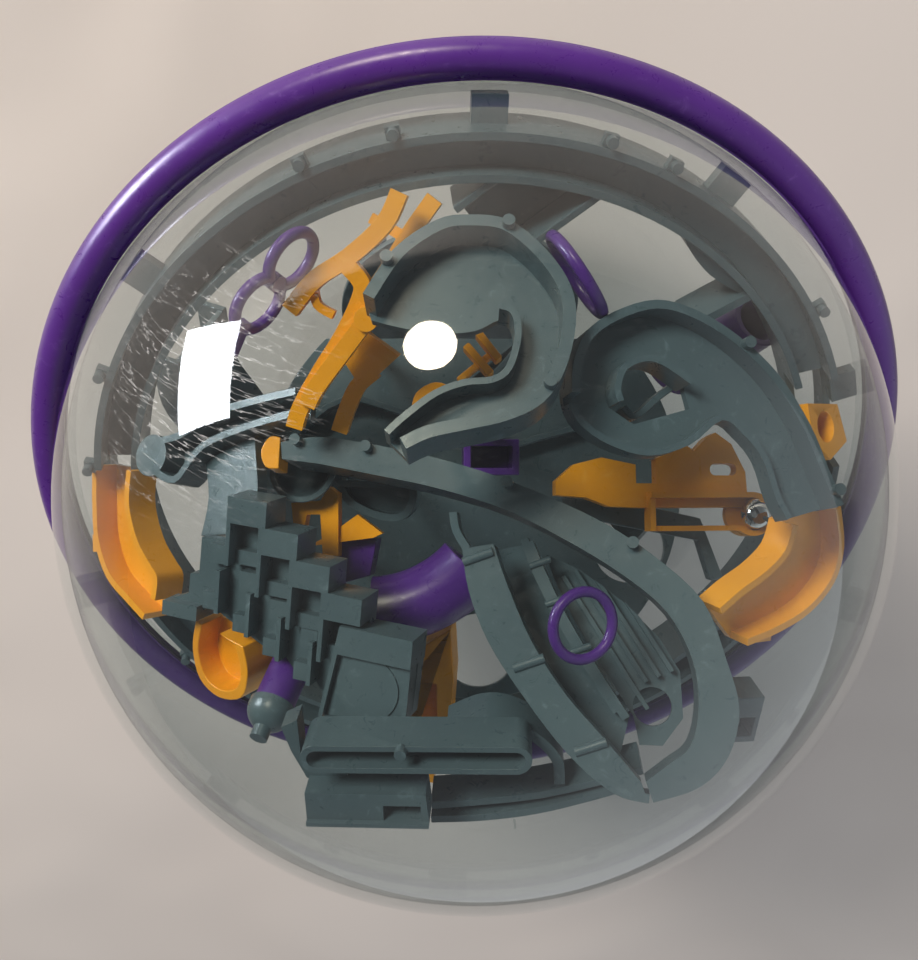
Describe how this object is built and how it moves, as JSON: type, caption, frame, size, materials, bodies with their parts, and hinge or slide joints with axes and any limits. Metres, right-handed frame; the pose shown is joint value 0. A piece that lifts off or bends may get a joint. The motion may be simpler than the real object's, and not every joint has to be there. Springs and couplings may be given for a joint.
{
  "type": "maze ball puzzle",
  "caption": "Clear sphere clamped by an equator ring, holding a coloured obstacle track that a small steel ball rolls along when the sphere is turned in the hands.",
  "frame": {"origin": "centre of the sphere", "axes": "+Z through the pole of the front dome, square to the equator ring; the ring lies in the XY plane; the orange cup where the ball rests is on the -X side"},
  "size_m": [0.203, 0.203, 0.188],
  "materials": {
    "clear_plastic": "clear moulded polystyrene, polished, with fine scratches",
    "grey_plastic": "semi-gloss moulded ABS, blue-grey",
    "orange_plastic": "semi-gloss moulded ABS, orange",
    "purple_plastic": "semi-gloss moulded ABS, purple",
    "steel": "polished ball-bearing steel"
  },
  "bodies": {
    "maze": {"front_dome": "clear_plastic", "rear_dome": "clear_plastic", "ring_front_half": "purple_plastic", "ring_rear_half": "purple_plastic", "equator_track": "grey_plastic", "equator_lugs": "grey_plastic", "cross_channel": "grey_plastic", "cross_rib": "grey_plastic", "scroll_left": "grey_plastic", "scroll_right": "grey_plastic", "scroll_latch": "grey_plastic", "long_ramp": "grey_plastic", "return_ramp": "grey_plastic", "loop_liner": "grey_plastic", "ribbed_plate": "grey_plastic", "brace_bar": "grey_plastic", "slot_track": "grey_plastic", "race_arc": "grey_plastic", "foot_bracket": "grey_plastic", "lower_arc": "grey_plastic", "step_block": "grey_plastic", "grey_funnel": "grey_plastic", "small_bowl": "grey_plastic", "scoop": "grey_plastic", "side_clip": "grey_plastic", "left_chute": "orange_plastic", "right_chute": "orange_plastic", "rail_upper": "orange_plastic", "rail_lower": "orange_plastic", "tip_cap": "orange_plastic", "leg_bracket": "orange_plastic", "ball_run": "orange_plastic", "side_block": "orange_plastic", "guide_bars": "orange_plastic", "orange_cam": "orange_plastic", "drop_chute": "orange_plastic", "spoon_cup": "orange_plastic", "elbow_tube": "purple_plastic", "purple_post": "purple_plastic", "post_cap": "grey_plastic", "purple_box": "purple_plastic", "purple_bucket": "purple_plastic", "purple_wedge": "purple_plastic", "hoop_upper": "purple_plastic", "hoop_lower": "purple_plastic", "double_hoop": "purple_plastic", "maze_posts": "grey_plastic", "rear_deck": "grey_plastic", "rear_spiral": "grey_plastic", "rear_ramp": "grey_plastic", "rear_steps": "grey_plastic", "rear_chute": "orange_plastic", "rear_cup": "purple_plastic"},
    "ball": {"steel_ball": "steel"}
  },
  "joints": [
    {"name": "ball_roll", "type": "slide", "parent": "maze", "child": "ball", "axis": [0.998, -0.0369, 0.0512], "range_m": [0, 0.018]}
  ]
}
